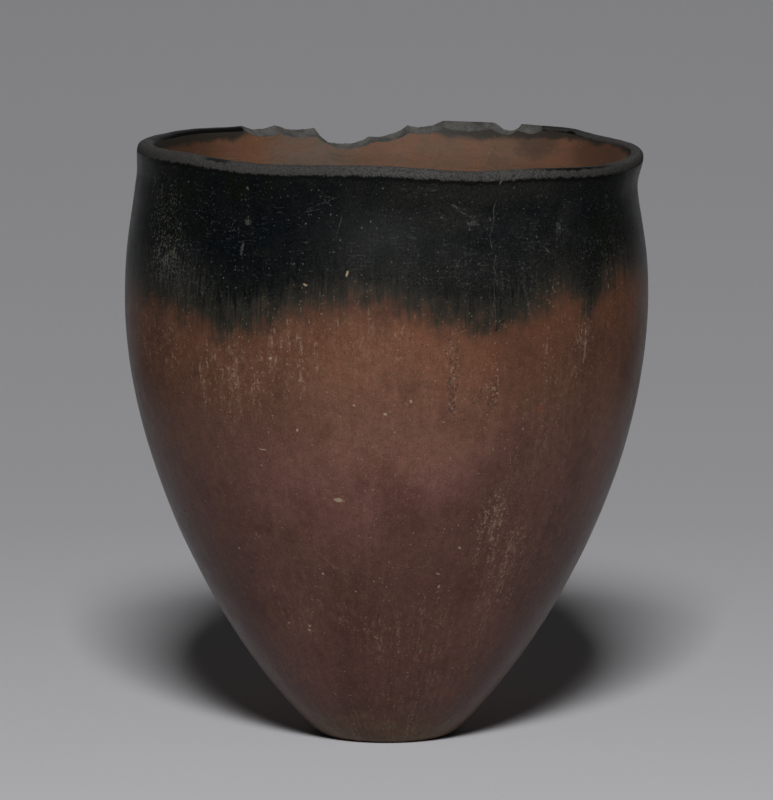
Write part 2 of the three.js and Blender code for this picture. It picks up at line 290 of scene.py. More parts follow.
PALE_SCUFFS = [
    (-32, 163, 2.4, 2.4, 20), (-33, 155.1, 1.3, 4.6, 8), (-10.4, 162.5, 0.28, 7.6, 14),
    (-14.5, 169, 11, 0.3, -22), (-13, 170.8, 7, 0.3, 8), (-16.5, 166.9, 6, 0.25, -12),
    (17.5, 167.3, 8, 0.4, 28), (19.4, 164.4, 5, 1.3, 10), (15.2, 169.4, 3.4, 0.8, 30),
    (41.3, 161.7, 2.4, 4.6, 0), (37.3, 155.5, 3.6, 1.1, 35), (31.4, 141.6, 0.22, 14, -14),
    (15.8, 132.4, 6.5, 0.25, -14), (22.3, 103.4, 0.3, 5.6, -34), (-36, 68.5, 3.2, 0.8, 22),
    (-17, 62.6, 0.25, 12, -44), (-15.4, 60.6, 0.25, 13, -38), (-12.8, 58.8, 0.22, 10, -52),
    (30, 92, 0.3, 6, -10), (112, 150, 6, 0.4, 20), (134, 76, 0.3, 12, 30), (156, 164, 8, 0.5, -12),
    (178, 96, 0.3, 16, -24), (193, 152, 2.6, 3, 0), (219, 60, 0.3, 12, 40), (246, 168, 9, 0.4, 14),
    (268, 104, 0.3, 10, -16),
]
RUSTY_SPOTS = [
    (36.3, 107.6, 3.2, 3, 0), (-8.9, 19.6, 1.6, 1.6, 0), (-48.6, 19.8, 4.4, 1.5, 15),
    (33, 17, 4, 3, 20), (15, 31, 2, 1.6, 0), (90, 40, 4, 3, 0), (150, 24, 3, 5, 0), (201, 36, 4, 3, 0),
    (259, 30, 5, 3, 0),
]
DARK_BLOTS = [
    (24, 133.4, 1.1, 2.6, 8), (25.6, 135.2, 2.2, 0.5, -20), (160, 128, 2.4, 3, 0),
    (232, 126, 2, 3.4, 0),
]
MARK_DEPTH = 2.5  # how far a mark reaches into the clay, so that the relief can't hide it

# Camera
CAMERA_DISTANCE = 2200
CAMERA_ELEVATION = 7.39
CAMERA_AIM_HEIGHT = 102.2
FOCAL_PIXELS = 7238.6
FRAME_LONG_SIDE = 800
SENSOR_WIDTH = 36

# Lamps and sweep, in metres
KEY_DISTANCE = 3.0
KEY_ELEVATION = 38
KEY_AZIMUTH = -0.6  # degrees from the front, negative to the left
KEY_SIZE = 0.58
KEY_POWER = 119
BACK_AZIMUTH = 180
BACK_DISTANCE = 1.6
BACK_ELEVATION = 12
BACK_SIZE = 0.9
BACK_POWER = 27
WORLD_STRENGTH = 0.03
SWEEP_FLAT_BACK = 0.5
SWEEP_FLAT_FRONT = -0.3
SWEEP_RADIUS = 3.2
SWEEP_TOP = 3.6
SWEEP_HALF_WIDTH = 0.34
SWEEP_WIDENS = (0.45, 0.9)  # distances behind the beaker between which the sheet widens
SWEEP_FAR_HALF_WIDTH = 1.1
SWEEP_DROP = 0.00005  # keeps the sheet and the underside of the foot apart


def smooth(value):
    """Eases 0 to 1."""
    held = np.clip(value, 0, 1)
    return held * held * (3 - 2 * held)


def bezier(*controls):
    """Fine points along the curve with these control points."""
    share = np.linspace(0, 1, FINE)[:, None]
    layer = [np.tile(np.array(c, float), (FINE, 1)) for c in controls]
    while len(layer) > 1:
        layer = [a * (1 - share) + b * share for a, b in zip(layer, layer[1:])]
    return layer[0]


def join(*lines):
    """One line out of several that meet end to end."""
    return np.concatenate([lines[0]] + [line[1:] for line in lines[1:]])


def spaced(line, count):
    """The same line with count points at even steps along it."""
    steps = np.hypot(*np.diff(line, axis=0).T)
    along = np.concatenate([[0], np.cumsum(steps)])
    at = np.linspace(0, along[-1], count)
    return np.column_stack([np.interp(at, along, line[:, axis]) for axis in (0, 1)])


def outer_lines():
    """Section of the outside: foot edge, wall, shoulder, flare and the bevel of the lip."""
    angle = math.radians(WALL_START_ANGLE)
    leaving = np.array([math.cos(angle), math.sin(angle)])
    turn = np.array([FOOT_RADIUS + FOOT_EDGE_WIDTH, FOOT_EDGE_RISE])
    foot_pull = FOOT_EDGE_RISE / 2 / math.sin(angle)
    belly = (BELLY_RADIUS, BELLY_HEIGHT)
    neck = (NECK_RADIUS, NECK_HEIGHT)
    lip = (LIP_RADIUS, LIP_HEIGHT)
    third = (LIP_HEIGHT - NECK_HEIGHT) / 3
    foot_edge = bezier(
        (FOOT_RADIUS, 0), (FOOT_RADIUS + FOOT_EDGE_WIDTH / 3, 0), turn - leaving * foot_pull, turn
    )
    wall = bezier(
        turn, turn + leaving * WALL_START_PULL, (BELLY_RADIUS, BELLY_HEIGHT - BELLY_PULL_DOWN), belly
    )
    shoulder = bezier(
        belly,
        (BELLY_RADIUS, BELLY_HEIGHT + BELLY_PULL_UP),
        (NECK_RADIUS, NECK_HEIGHT - NECK_PULL),
        neck,
    )
    flare = bezier(neck, (NECK_RADIUS, NECK_HEIGHT + third), (LIP_RADIUS, LIP_HEIGHT - third), lip)
    bevel = bezier(lip, (LIP_RADIUS, CREST_HEIGHT), (CREST_RADIUS, CREST_HEIGHT))
    return foot_edge, wall, shoulder, flare, bevel


def inner_lines(wall, shoulder):
    """Section of the inside, from the crest down to the middle of the floor."""
    inner_turn = bezier(
        (CREST_RADIUS, CREST_HEIGHT),
        (MOUTH_RADIUS, CREST_HEIGHT),
        (MOUTH_RADIUS, CREST_HEIGHT - LIP_INNER_DROP),
    )
    outside = join(spaced(wall, FINE), spaced(shoulder, FINE))
    start = int(FLOOR_STARTS_AT * FINE)
    tangent = np.gradient(outside, axis=0)
    tangent /= np.hypot(*tangent.T)[:, None]
    inward = np.column_stack([-tangent[:, 1], tangent[:, 0]])
    rise = smooth((outside[:, 1] - FOOT_EDGE_RISE) / (NECK_HEIGHT - FOOT_EDGE_RISE))
    thick = LOWER_WALL + (RIM_WALL - LOWER_WALL) * rise
    face = (outside + inward * thick[:, None])[start:][::-1]
    end = face[-1]
    downward = face[-1] - face[-2]
    downward /= np.hypot(*downward)
    reach = (end[1] - FLOOR_THICKNESS) / 2
    bowl = bezier(
        end, end + downward * reach, (end[0] / 2, FLOOR_THICKNESS), (0, FLOOR_THICKNESS)
    )
    drop = np.array([inner_turn[-1], face[0]])
    return inner_turn, join(drop, face), bowl


FOOT_EDGE, WALL, SHOULDER, FLARE, BEVEL = outer_lines()
INNER_TURN, INNER_FACE, BOWL = inner_lines(WALL, SHOULDER)
OUTSIDE_LINE = join(FOOT_EDGE, WALL, SHOULDER, FLARE, BEVEL)


def rim_lift(azimuth):
    """Height that the potter's hand adds at the rim."""
    (first, first_rise), (last, last_rise) = RIM_RISES[0], RIM_RISES[-1]
    marks = [(last - 360, last_rise), *RIM_RISES, (first + 360, first_rise)]
    at, rises = np.array(marks).T
    turn = np.asarray(azimuth) % 360
    before = np.searchsorted(at, turn, side="right") - 1
    share = (turn - at[before]) / (at[before + 1] - at[before])
    return rises[before] + (rises[before + 1] - rises[before]) * smooth(share)


def lift(azimuth, height):
    """The part of that lift that a lower height has."""
    share = np.clip((height - FLOOR_THICKNESS) / (CREST_HEIGHT - FLOOR_THICKNESS), 0, None)
    return rim_lift(azimuth) * share**UNEVEN_POWER


def mouth_lean(height):
    return MOUTH_SHIFT * smooth((height - CREST_HEIGHT) / MOUTH_SHIFT_RISE + 1)


def hollow_lean(height):
    return HOLLOW_SHIFT * smooth(height / CREST_HEIGHT)


def wander(points, size):
    """Soft noise from -1 to 1 that changes over about this size, at each point."""
    places = np.asarray(points) / size
    values = [noise.noise(Vector(p) + NOISE_OFFSET) for p in places.reshape(-1, 3)]
    return np.reshape(values, places.shape[:-1])


def around(azimuth, radius, height, flatten=1.0):
    """Points on a cylinder, for noise that has no seam. Flatten under 1 draws the noise out upwards."""
    turn = np.radians(azimuth)
    parts = (radius * np.sin(turn), -radius * np.cos(turn), np.asarray(height) * flatten)
    return np.stack(np.broadcast_arrays(*parts), axis=-1)


def on_wall(azimuth, height):
    """The point of the outside at an azimuth and a height above the design's foot."""
    radius = np.interp(height, OUTSIDE_LINE[:, 1], OUTSIDE_LINE[:, 0])
    turn = math.radians(azimuth)
    x = radius * math.sin(turn) + mouth_lean(height)
    return Vector((x, -radius * math.cos(turn), height + lift(azimuth, height)))


def columns():
    """Azimuths of the mesh's columns: close together at the breaks, closer at the notch."""
    plain = np.arange(0, 360, COLUMN_STEP)
    kept = plain[(plain < BREAK_SPAN[0]) | (plain >= BREAK_SPAN[1])]
    kept = kept[(kept < NOTCH_SPAN[0]) | (kept >= NOTCH_SPAN[1])]
    broken = np.arange(*BREAK_SPAN, BREAK_COLUMN_STEP)
    notched = np.arange(*NOTCH_SPAN, NOTCH_COLUMN_STEP)
    left, right = notch_edges(0)
    edges = [left - HAIR, left, right, right + HAIR]
    return np.unique(np.concatenate([kept, broken, notched, edges]))


def notch_edges(clearance):
    """Azimuths of the notch's upright left edge and of its right end at the crest."""
    slope = NOTCH_WIDTH / NOTCH_DEPTH
    degrees = math.degrees(1 / LIP_RADIUS)
    left = NOTCH_AZIMUTH + (-NOTCH_WIDTH / 2 + clearance) * degrees
    right = NOTCH_AZIMUTH + (NOTCH_WIDTH / 2 - clearance * math.hypot(1, slope)) * degrees
    return left, right


def notch_floor(azimuth, clearance):
    """Height of the notch's lower edge at an azimuth, or far above the rim outside the notch."""
    left, right = notch_edges(clearance)
    crest = CREST_HEIGHT + rim_lift(NOTCH_AZIMUTH)
    tip = crest - (NOTCH_DEPTH - clearance * math.hypot(1, NOTCH_DEPTH / NOTCH_WIDTH))
    if azimuth < left - NOTCH_SLACK or azimuth > right + NOTCH_SLACK:
        return NO_CUT
    return tip + (crest - tip) * (azimuth - left) / (right - left)


def break_height(azimuth, radius):
    """Height of the broken face at points of one column, or far above the rim where it is whole."""
    height = np.full(len(radius), NO_CUT)
    if not BREAK_SPAN[0] < azimuth < BREAK_SPAN[1]:
        return height
    ragged = wander(around(azimuth, radius, 0), BREAK_GRAIN)
    fine = wander(around(azimuth, radius, BREAK_FINE_LEVEL), BREAK_FINE_GRAIN)
    bites = RIM_FLAKES + [
        (middle, width, RIM_WALL / math.sqrt(1 - (outer / inner) ** 2), inner)
        for middle, width, outer, inner in RIM_CHIPS
    ]
    for middle, width, reach, deepest in bites:
        turn = math.radians(azimuth - middle)
        along = (radius * math.sin(turn) + BREAK_RAGGED * ragged) / (width / 2)
        across = (radius * math.cos(turn) - MOUTH_RADIUS) / reach
        left = 1 - along**2 - across**2
        depth = deepest * np.sqrt(np.clip(left, 0, None))
        face = CREST_HEIGHT + rim_lift(middle) - depth + BREAK_ROUGHNESS * (ragged + 0.5 * fine)
        height = np.where(left > 0, np.minimum(height, face), height)
    return height


def rim_line():
    """Section over the rim, from the outside at the band's foot to the same height inside."""
    outside = join(SHOULDER, FLARE, BEVEL)
    outside = outside[outside[:, 1] >= RIM_BAND_FROM]
    inside = INNER_FACE[INNER_FACE[:, 1] >= RIM_BAND_FROM]
    return spaced(outside, RIM_FINE), spaced(INNER_TURN, RIM_FINE), spaced(inside, RIM_FINE)


def lifted(azimuth, line):
    """A line of the section, as high as it stands at this azimuth."""
    return np.column_stack([line[:, 0], line[:, 1] + lift(azimuth, line[:, 1])])


def rim_column(azimuth, outside, top, inside):
    """One column's rim rows: radius, height, share of the way inside and whether the clay is broken."""
    line = lifted(azimuth, join(outside, top, inside))
    cut = np.minimum(break_height(azimuth, line[:, 0]), notch_floor(azimuth, 0))
    over = np.nonzero(line[:, 1] > cut)[0]
    first = len(outside) - 1
    last = len(outside) + len(top) - 2
    is_broken = len(over) > 0
    if is_broken:
        first, last = over[0], over[-1]
    crossing = line[first : last + 1]
    if is_broken:
        radius = np.linspace(line[first, 0], line[last, 0], RIM_FINE)
        face = np.minimum(break_height(azimuth, radius), notch_floor(azimuth, 0))
        whole = np.interp(-radius, -crossing[:, 0], crossing[:, 1])
        face = np.minimum(face, whole)
        crossing = np.column_stack([radius, face])
    up = spaced(line[: first + 1], LIP_OUTSIDE_ROWS)
    over_top = spaced(crossing, LIP_TOP_ROWS + 2)[1:-1]
    down = spaced(line[last:], LIP_INSIDE_ROWS)
    rows = np.concatenate([up, over_top, down])
    inside_share = np.concatenate(
        [np.zeros(len(up)), np.linspace(0, 1, len(over_top) + 2)[1:-1], np.ones(len(down))]
    )
    face_rows = np.full(len(over_top), float(is_broken))
    broken = np.concatenate([np.zeros(len(up)), face_rows, np.zeros(len(down))])
    return rows, inside_share, broken


def turn_from(middle, azimuth):
    """Degrees from one azimuth to another, -180 to 180."""
    return (azimuth - middle + 180) % 360 - 180


def fields_of(azimuth, height, patches):
    """How strongly each point lies in the soft-edged patches, from 0 to 1."""
    total = np.zeros(azimuth.shape)
    for middle, level, half_width, half_height, strength in patches:
        radius = np.interp(level, OUTSIDE_LINE[:, 1], OUTSIDE_LINE[:, 0])
        sideways = np.radians(turn_from(middle, azimuth)) * radius / half_width
        upward = (height - level) / half_height
        away = np.hypot(sideways, upward)
        total = np.maximum(total, strength * smooth(PATCH_REACH - away))
    return total


def firing_edge(azimuth):
    """Height of the edge of the black at each azimuth, its turns rounded."""
    at, height = np.array(sorted((a % 360, h) for a, h in FIRING_EDGE)).T
    offsets = np.linspace(-1, 1, 7) * FIRING_EDGE_EASE
    total = sum(np.interp((azimuth + offset) % 360, at, height, period=360) for offset in offsets)
    return total / len(offsets)


def crack_distance(azimuth, height):
    """Distance sideways from the crack, to the right of it positive, held where it isn't followed."""
    at, level = np.array(CRACK)[::-1].T
    turn = turn_from(np.interp(height, level, at), azimuth)
    return np.clip(np.radians(turn) * BELLY_RADIUS, -CRACK_FAR, CRACK_FAR)


def vessel_grid():
    """Rows from under the foot, up the outside, over the rim and down to the floor, by columns."""
    azimuths = columns()
    outside, top, inside = rim_line()
    under_radius = np.linspace(0, FOOT_RADIUS, UNDERSIDE_ROWS + 1)[1:]
    under = np.column_stack([under_radius, np.zeros(UNDERSIDE_ROWS)])
    rising = join(WALL, SHOULDER)
    rising = rising[rising[:, 1] <= RIM_BAND_FROM]
    low = join(under, spaced(FOOT_EDGE, FOOT_EDGE_ROWS), spaced(rising, WALL_ROWS))[:-1]
    sinking = INNER_FACE[INNER_FACE[:, 1] <= RIM_BAND_FROM]
    hollow = join(spaced(sinking, INSIDE_ROWS), spaced(BOWL, FLOOR_ROWS))[1:-1]
    made = [rim_column(a, outside, top, inside) for a in azimuths]
    rim = np.stack([rows for rows, _, _ in made], axis=1)
    rim_inside = np.stack([share for _, share, _ in made], axis=1)
    rim_broken = np.stack([broken for _, _, broken in made], axis=1)
    count = len(azimuths)
    radius = np.concatenate([np.tile(low[:, :1], count), rim[:, :, 0], np.tile(hollow[:, :1], count)])
    low_height = low[:, 1:] + lift(azimuths, low[:, 1:])
    hollow_height = hollow[:, 1:] + lift(azimuths, hollow[:, 1:])
    height = np.concatenate([low_height, rim[:, :, 1], hollow_height])
    zeros, ones = np.zeros((len(low), count)), np.ones((len(hollow), count))
    inside_share = np.concatenate([zeros, rim_inside, ones])
    broken = np.concatenate([zeros, rim_broken, ones * 0])
    azimuth = np.tile(azimuths, (len(radius), 1))
    return azimuth, radius, height, inside_share, broken, len(low)


def relief(azimuth, radius, height, inside_share):
    """How far the hand-made surface lies back from the ideal one, always into the clay."""
    broad = wander(around(azimuth, radius, height), BROAD_SWELL_SIZE)
    coils = wander(around(azimuth, radius * COIL_RIPPLE_ROUND, height), COIL_RIPPLE_SIZE)
    strokes = wander(around(azimuth, radius, height, STROKE_FACET_FLATTEN), STROKE_FACET_SIZE)
    wipes = wander(around(azimuth, radius * WIPE_RIDGE_ROUND, height), WIPE_RIDGE_SIZE)
    outside = (BROAD_SWELL * (1 + broad) + COIL_RIPPLE * (1 + coils) + STROKE_FACET * (1 + strokes)) / 2
    inside = INSIDE_SWELL * broad - WIPE_RIDGE * (1 + wipes) / 2
    left = CREST_HEIGHT + RELIEF_ENDS_ABOVE - height
    fade = smooth(height / RELIEF_FADE_LOW) * smooth(left / RELIEF_FADE_HIGH)
    return (outside * (1 - inside_share) - inside * inside_share) * fade


def place(azimuth, radius, height, inside_share):
    """The grid's points in metres, leaned and shifted as the solids are."""
    turn = np.radians(azimuth)
    shift = mouth_lean(height) + inside_share * hollow_lean(height)
    x = radius * np.sin(turn) + shift
    y = -radius * np.cos(turn)
    return np.stack([x, y, height], axis=-1) * MM


def grid_faces(rows, count):
    """Quads between neighbouring rows and columns, round and round, facing out of the clay."""
    row, column = np.meshgrid(np.arange(rows - 1), np.arange(count), indexing="ij")
    beside = (column + 1) % count
    here = row * count
    above = here + count
    corners = [here + column, here + beside, above + beside, above + column]
    return np.stack(corners, axis=-1).reshape(-1, 4).tolist()


def add_object(name, data):
    made = bpy.data.objects.new(name, data)
    bpy.context.scene.collection.objects.link(made)
    return made


def add_mesh(name, points, faces, sharp=None):
    """A smooth mesh in an object of its own, with sharp edges where it turns by more than sharp."""
    mesh = bpy.data.meshes.new(name)
    mesh.from_pydata(points, [], faces)
    mesh.shade_smooth()
    if sharp:
        mesh.set_sharp_from_angle(angle=math.radians(sharp))
    return add_object(name, mesh)


def add_field(mesh, name, values):
    """A number at each point of the mesh, for its finish to read."""
    layer = mesh.attributes.new(name, "FLOAT", "POINT")
    layer.data.foreach_set("value", np.asarray(values, np.float32).ravel())


def along_section(radius, height):
    """Length along the section to each row, from under the foot."""
    steps = np.hypot(np.diff(radius, axis=0), np.diff(height, axis=0))
    return np.concatenate([np.zeros((1, radius.shape[1])), np.cumsum(steps, axis=0)])


# Places of the finishes among the vessel's materials
OUTSIDE_FINISH, INSIDE_FINISH, BROKEN_FINISH = range(3)


def make_vessel():
    azimuth, radius, height, inside_share, broken, rim_starts = vessel_grid()
    rows, count = azimuth.shape
    back = relief(azimuth, radius, height, inside_share)
    wear = (1 + wander(around(azimuth, LIP_RADIUS, 0), LIP_WEAR_SIZE)) / 2
    near_crest = smooth((height - CREST_HEIGHT + LIP_WEAR_BEGINS) / LIP_WEAR_GROWS)
    worn_height = height - LIP_WEAR * wear * near_crest * (1 - broken)
    points = place(azimuth, radius - back, worn_height, inside_share).reshape(-1, 3)
    foot = [(0.0, 0.0, 0.0)]
    floor = [(hollow_lean(FLOOR_THICKNESS) * MM, 0.0, FLOOR_THICKNESS * MM)]
    last = rows * count
    faces = grid_faces(rows, count)
    for column in range(count):
        beside = (column + 1) % count
        faces.append((last, beside, column))
        top = (rows - 1) * count
        faces.append((top + column, top + beside, last + 1))
    points = np.concatenate([points, foot, floor]).tolist()
    vessel = add_mesh("vessel_body_finished", points, faces, VESSEL_SHARP)
    mesh = vessel.data

    # What the finishes read at each point
    fields = {
        "above_firing": height - firing_edge(azimuth),
        "from_crack": np.where(inside_share > 0.5, CRACK_FAR, crack_distance(azimuth, height)),
        "below_crest": CREST_HEIGHT + lift(azimuth, CREST_HEIGHT) - height,
        "inward": CREST_RADIUS - radius,
    }
    for name, patches in PATCHES.items():
        reach = inside_share if name in INSIDE_ONLY else 1
        fields[name] = fields_of(azimuth, height, patches) * reach
    for name, values in fields.items():
        add_field(mesh, name, np.concatenate([values.ravel(), np.zeros(2)]))
    cylinder = around(azimuth, BELLY_RADIUS, along_section(radius, height)).reshape(-1, 3)
    layer = mesh.attributes.new("around", "FLOAT_VECTOR", "POINT")
    cylinder = np.concatenate([cylinder, np.zeros((2, 3))])
    layer.data.foreach_set("vector", cylinder.astype(np.float32).ravel())

    # Which finish each face has
    lip_top = rim_starts + LIP_OUTSIDE_ROWS
    slots = np.full((rows - 1, count), OUTSIDE_FINISH)
    slots[lip_top + LIP_TOP_ROWS - 1 :] = INSIDE_FINISH
    is_broken = broken[lip_top] > 0
    crossing = slice(lip_top - 1, lip_top + LIP_TOP_ROWS)
    slots[crossing, is_broken & np.roll(is_broken, -1)] = BROKEN_FINISH
    fan = np.tile([OUTSIDE_FINISH, INSIDE_FINISH], count)
    mesh.polygons.foreach_set("material_index", np.concatenate([slots.ravel(), fan]).astype(np.int32))
    return vessel


def make_fill():
    """The plaster in the notch: the rim's own section, cut off along the notch's edges."""
    section = join(*rim_line())
    left, right = notch_edges(FILL_JOINT)
    azimuths = np.linspace(left, right - 2 * HAIR, FILL_COLUMNS)
    rings = []
    for azimuth in azimuths:
        line = lifted(azimuth, section)
        floor = min(notch_floor(azimuth, FILL_JOINT), line[:, 1].max() - FILL_EDGE)
        ring = spaced(line[line[:, 1] > floor], FILL_ROWS)
        base = np.linspace(ring[-1], ring[0], FILL_BASE_ROWS)[1:-1]
        rings.append(np.concatenate([ring, base]))
    full_radius, full_height = np.moveaxis(np.stack(rings), -1, 0)
    count, size = full_radius.shape
    azimuth = np.repeat(azimuths[:, None], size, axis=1)
    inside_share = smooth((CREST_RADIUS + FILL_EASE / 2 - full_radius) / FILL_EASE)
    rough = wander(around(azimuth, full_radius, full_height), FILL_ROUGH_SIZE)
    sunk = FILL_SINK * (1 + rough)
    outward = np.sign(full_radius - (LIP_RADIUS + MOUTH_RADIUS) / 2)
    radius = full_radius - outward * sunk
    height = full_height - sunk * smooth((full_height - FILL_SUNK_FROM) / FILL_EASE)
    points = place(azimuth, radius, height, inside_share).reshape(-1, 3)
    faces = [(a, d, c, b) for a, b, c, d in grid_faces(count, size)]
    faces.append(tuple(range(size)))
    faces.append(tuple(range((count - 1) * size, count * size))[::-1])
    return add_mesh("rim_fill_finished", points.tolist(), faces, FILL_SHARP)


# Laying nodes


def paint(red, green, blue):
    """A colour given as it is seen on a screen, 0 to 255, as a shader takes it."""
    seen = np.array([red, green, blue]) / 255
    light = np.where(seen <= 0.04045, seen / 12.92, ((seen + 0.055) / 1.055) ** 2.4)
    return (*light, 1)


def lay(kind, inputs, tree=None, **settings):
    """A node, set and joined, in the tree of what it is joined to."""
    joined = [value for value in inputs.values() if isinstance(value, bpy.types.NodeSocket)]
    tree = tree or joined[0].id_data
    node = tree.nodes.new(kind)
    for name, value in settings.items():
        setattr(node, name, value)
    for name, value in inputs.items():
        if isinstance(value, bpy.types.NodeSocket):
            tree.links.new(value, node.inputs[name])
        else:
            node.inputs[name].default_value = value
    return node


def maths(operation, first, second=0.0, clamp=False):
    inputs = {0: first, 1: second}
    return lay("ShaderNodeMath", inputs, operation=operation, use_clamp=clamp).outputs[0]


def vector_maths(operation, inputs):
    return lay("ShaderNodeVectorMath", inputs, operation=operation).outputs[0]


def eased(value, start, end, low=0.0, high=1.0):
    """Low where the value is at start, high where it is at end, with a soft turn between them."""
    inputs = {"Value": value, "From Min": start, "From Max": end, "To Min": low, "To Max": high}
    return lay("ShaderNodeMapRange", inputs, interpolation_type="SMOOTHSTEP").outputs[0]


def mixed(share, under, over, how="MIX"):
    """Colour over laid on colour under by a share."""
    inputs = {0: share, 6: under, 7: over}
    return lay("ShaderNodeMix", inputs, data_type="RGBA", blend_type=how).outputs[2]


def inverse(value):
    return maths("DIVIDE", 1.0, value)


def noise_over(point, scale, detail=2.0, roughness=0.5):
    inputs = {"Vector": point, "Scale": scale, "Detail": detail, "Roughness": roughness}
    return lay("ShaderNodeTexNoise", inputs).outputs


def grained(point, size, detail=2.0, roughness=0.5):
    """Noise from 0 to 1 that changes over about this size."""
    return noise_over(point, 1 / size, detail, roughness)["Fac"]


def stretched(point, across, up):
    """The point's place with its sideways and upward sizes changed."""
    return vector_maths("MULTIPLY", {0: point, 1: (1 / across, 1 / across, 1 / up)})


def banded(value, stops):
    """A colour that changes along a value, by stops of value and colour."""
    node = lay("ShaderNodeValToRGB", {"Fac": value})
    ramp = node.color_ramp
    while len(ramp.elements) < len(stops):
        ramp.elements.new(0.5)
    for element, (at, colour) in zip(ramp.elements, stops):
        element.position = at
        element.color = colour
    return node.outputs["Color"]


def attribute(tree, name):
    return lay("ShaderNodeAttribute", {}, tree, attribute_name=name).outputs


def field(tree, name):
    return attribute(tree, name)["Fac"]


def start_group(name, place, numbers):
    """What a new node group is given: a place, and numbers with their usual values."""
    tree = bpy.data.node_groups.new(name, "ShaderNodeTree")
    tree.interface.new_socket(place, in_out="INPUT", socket_type="NodeSocketVector")
    for label, usual in numbers.items():
        socket = tree.interface.new_socket(label, in_out="INPUT", socket_type="NodeSocketFloat")
        socket.default_value = usual
    return tree.nodes.new("NodeGroupInput").outputs


def finish_group(numbers):
    """The node group that these numbers were worked out in, with them as what it gives."""
    tree = next(iter(numbers.values())).id_data
    for label in numbers:
        tree.interface.new_socket(label, in_out="OUTPUT", socket_type="NodeSocketFloat")
    lay("NodeGroupOutput", numbers)
    return tree


def grain_group():
    """Fine sandy grain of fired clay: a shade about 0.5 and a height."""
    given = start_group("clay grain", "Point", {"Size": 0.6})
    scale = inverse(given["Size"])
    fine = noise_over(given["Point"], scale, 3.0)["Fac"]
    coarse = noise_over(given["Point"], times(scale, 0.22))["Fac"]
    return finish_group({"Shade": added(times(fine, 0.8), times(coarse, 0.2)), "Height": fine})


def speck_group():
    """Scattered round grains: a mask, and a tone that differs from grain to grain."""
    given = start_group("scattered grains", "Point", {"Spacing": 3.0, "Radius": 0.3, "Share": 0.5})
    scale = inverse(given["Spacing"])
    cell = lay("ShaderNodeTexVoronoi", {"Vector": given["Point"], "Scale": scale}).outputs
    parts = lay("ShaderNodeSeparateColor", {0: cell["Color"]}).outputs
    distance = times(cell["Distance"], given["Spacing"])
    radius = times(given["Radius"], added(times(parts[0], 0.7), 0.3))
    round_mask = eased(distance, radius, times(radius, 0.55))
    is_there = maths("LESS_THAN", parts[1], given["Share"])
    return finish_group({"Mask": times(round_mask, is_there), "Tone": parts[2]})


def stroke_group():
    """Long thin marks drawn out upwards by a burnishing pebble: a shade about 0.5 and a height."""
    given = start_group("burnishing strokes", "Around", {"Width": 0.7, "Length": 18.0})
    across = inverse(given["Width"])
    up = inverse(given["Length"])
    scale = lay("ShaderNodeCombineXYZ", {0: across, 1: across, 2: up}).outputs[0]
    drawn = vector_maths("MULTIPLY", {0: given["Around"], 1: scale})
    fine = noise_over(drawn, 1.0)["Fac"]
    wide = noise_over(drawn, 0.21, 1.0)["Fac"]
    return finish_group({"Shade": added(times(fine, 0.55), times(wide, 0.45)), "Height": wide})


def fleck_group():
    """Worm-like flecks where a coat has worn through: a mask that grows with the share asked for."""
    given = start_group("worn flecks", "Point", {"Size": 1.0, "Share": 0.3, "Softness": 0.1})
    value = noise_over(given["Point"], inverse(given["Size"]), 3.0, 0.62)["Fac"]
    start = maths("SUBTRACT", 0.74, times(given["Share"], 0.24))
    return finish_group({"Mask": eased(value, start, added(start, given["Softness"]))})


def use(group, inputs):
    """A node group placed in a material with its own values."""
    return lay("ShaderNodeGroup", inputs, node_tree=group).outputs


def new_finish(name):
    """A material with an empty tree, and the point of the surface in millimetres."""
    material = bpy.data.materials.new(name)
    material.use_nodes = True
    tree = material.node_tree
    tree.nodes.clear()
    place_in_object = lay("ShaderNodeTexCoord", {}, tree).outputs["Object"]
    point = vector_maths("SCALE", {0: place_in_object, 3: 1 / MM})
    return material, tree, point


def close_finish(colour, roughness, height, relief_depth, **plain):
    """The Principled shader of a finish, with its bump, joined to the output."""
    bump = lay("ShaderNodeBump", {"Height": height, "Distance": relief_depth * MM, "Strength": 1.0})
    inputs = {"Base Color": colour, "Roughness": roughness, "Normal": bump.outputs[0], **plain}
    shader = lay("ShaderNodeBsdfPrincipled", inputs)
    lay("ShaderNodeOutputMaterial", {"Surface": shader.outputs[0]})
    return shader.outputs[0]


def marks_mask(point, marks):
    """The largest of the single marks at each place."""
    found = None
    for azimuth, level, width, length, lean in marks:
        middle = on_wall(azimuth, level)
        turn = (0, math.radians(lean), math.radians(azimuth))
        share = (2 / width, 1 / MARK_DEPTH, 2 / length)
        away = vector_maths("SUBTRACT", {0: point, 1: middle})
        inputs = {"Vector": away, "Rotation": turn}
        local = lay("ShaderNodeVectorRotate", inputs, rotation_type="EULER_XYZ", invert=True)
        sized = vector_maths("MULTIPLY", {0: local.outputs[0], 1: share})
        off = lay("ShaderNodeVectorMath", {0: sized}, operation="LENGTH").outputs["Value"]
        mask = eased(off, 1.1, 0.6)
        found = mask if found is None else maths("MAXIMUM", found, mask)
    return found


def ragged_point(point, size, reach):
    """The point pushed about by noise, so that an outline drawn with it is ragged."""
    push = noise_over(point, 1 / size)["Color"]
    centred = vector_maths("SUBTRACT", {0: push, 1: (0.5, 0.5, 0.5)})
    scaled = vector_maths("SCALE", {0: centred, 3: reach})
    return vector_maths("ADD", {0: point, 1: scaled})


# Colours as they are seen
FOOT_BUFF = paint(94, 76, 57)
LOW_MAUVE = paint(85, 57, 51)
MID_MAUVE = paint(92, 63, 56)
HIGH_RED = paint(89, 62, 50)
ORANGE = paint(92, 60, 45)
DEEP_RED = paint(70, 43, 36)
MELLOW = paint(98, 73, 53)
BUFF = paint(128, 105, 89)
SMOKE = paint(42, 39, 34)
